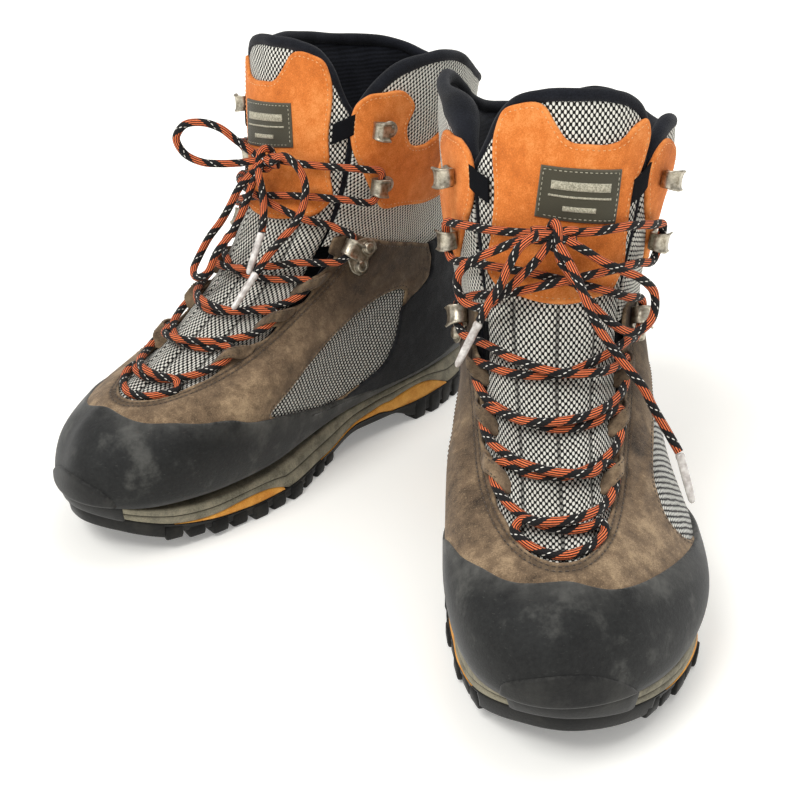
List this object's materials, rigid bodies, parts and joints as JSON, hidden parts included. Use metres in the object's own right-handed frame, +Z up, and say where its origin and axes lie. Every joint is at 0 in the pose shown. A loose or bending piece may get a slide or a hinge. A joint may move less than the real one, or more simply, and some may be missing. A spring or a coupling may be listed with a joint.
{
  "type": "pair of mountaineering boots",
  "caption": "Pair of laced mountaineering boots with rubber rands, suede and mesh uppers, padded tongues, lace hooks and lugged soles.",
  "frame": {"origin": "on the floor under the middle of the pair", "axes": "+Z up, the left boot's toe points along -Y, +X towards the left boot's outer side"},
  "size_m": [0.2929, 0.3844, 0.2149],
  "materials": {
    "tread_rubber": "matt, dusty",
    "insert_foam": "matt orange foam",
    "midsole_foam": "matt grey olive foam",
    "board": "matt",
    "footbed_cloth": "felt",
    "rand_rubber": "matt, dusty and scuffed",
    "brown_suede": "napped, scuffed",
    "dotted_mesh": "woven, pale dots on black",
    "orange_suede": "napped",
    "navy_cloth": "brushed",
    "label_cloth": "woven",
    "elastic_web": "woven",
    "nickel": "satin",
    "lace_cord": "braided, flecked with orange",
    "clear_tip": "clear"
  },
  "bodies": {
    "left_boot": {"left_outsole": "tread_rubber", "left_midsole_inserts": "insert_foam", "left_midsole": "midsole_foam", "left_insole_board": "board", "left_rand": "rand_rubber", "left_toe_bumper": "rand_rubber", "left_suede_vamp": "brown_suede", "left_side_mesh": "dotted_mesh", "left_heel_cap": "brown_suede", "left_cuff_shell": "dotted_mesh", "left_cuff_patches": "orange_suede", "left_collar_rim": "navy_cloth", "left_lining": "navy_cloth", "left_tongue_lower": "dotted_mesh", "left_tongue_straps": "elastic_web", "left_cuff_hooks": "nickel", "left_instep_hooks": "nickel", "left_hook_rivets": "nickel", "left_lace_loops": "brown_suede", "left_lace": "lace_cord", "left_lace_knot": "lace_cord", "left_bow_loops": "lace_cord", "left_lace_tails": "lace_cord", "left_aglets": "clear_tip", "left_pull_strap": "elastic_web"},
    "left_footbed_body": {"left_footbed": "footbed_cloth"},
    "left_tongue": {"left_tongue_upper": "dotted_mesh", "left_tongue_patch": "orange_suede", "left_tongue_label": "label_cloth"},
    "right_boot": {"right_outsole": "tread_rubber", "right_midsole_inserts": "insert_foam", "right_midsole": "midsole_foam", "right_insole_board": "board", "right_rand": "rand_rubber", "right_toe_bumper": "rand_rubber", "right_suede_vamp": "brown_suede", "right_side_mesh": "dotted_mesh", "right_heel_cap": "brown_suede", "right_cuff_shell": "dotted_mesh", "right_cuff_patches": "orange_suede", "right_collar_rim": "navy_cloth", "right_lining": "navy_cloth", "right_tongue_lower": "dotted_mesh", "right_tongue_straps": "elastic_web", "right_cuff_hooks": "nickel", "right_instep_hooks": "nickel", "right_hook_rivets": "nickel", "right_lace_loops": "brown_suede", "right_lace": "lace_cord", "right_lace_knot": "lace_cord", "right_bow_loops": "lace_cord", "right_lace_tails": "lace_cord", "right_aglets": "clear_tip", "right_pull_strap": "elastic_web"},
    "right_footbed_body": {"right_footbed": "footbed_cloth"},
    "right_tongue": {"right_tongue_upper": "dotted_mesh", "right_tongue_patch": "orange_suede", "right_tongue_label": "label_cloth"}
  },
  "joints": [
    {"name": "left_tongue_flex", "type": "hinge", "parent": "left_boot", "child": "left_tongue", "pos_m": [0.08448, -0.07163, 0.09808], "axis": [0.999, -0.0436, 0], "range_deg": [-12, 0], "stiffness_Nm_per_rad": 2, "springref_deg": 1.15},
    {"name": "left_footbed_lift", "type": "hinge", "parent": "left_boot", "child": "left_footbed_body", "pos_m": [0.08, -0.17897, 0.034], "axis": [0.999, -0.0436, 0], "range_deg": [0, 5]},
    {"name": "right_tongue_flex", "type": "hinge", "parent": "right_boot", "child": "right_tongue", "pos_m": [-0.05647, 0.05018, 0.09808], "axis": [0.766, -0.6428, 0], "range_deg": [-12, 0], "stiffness_Nm_per_rad": 2, "springref_deg": 1.15},
    {"name": "right_footbed_lift", "type": "hinge", "parent": "right_boot", "child": "right_footbed_body", "pos_m": [-0.12569, -0.03198, 0.034], "axis": [0.766, -0.6428, 0], "range_deg": [0, 5]},
    {"name": "right_boot_lift", "type": "slide", "parent": "left_boot", "child": "right_boot", "axis": [0, 0, 1], "range_m": [0, 0.15]}
  ]
}
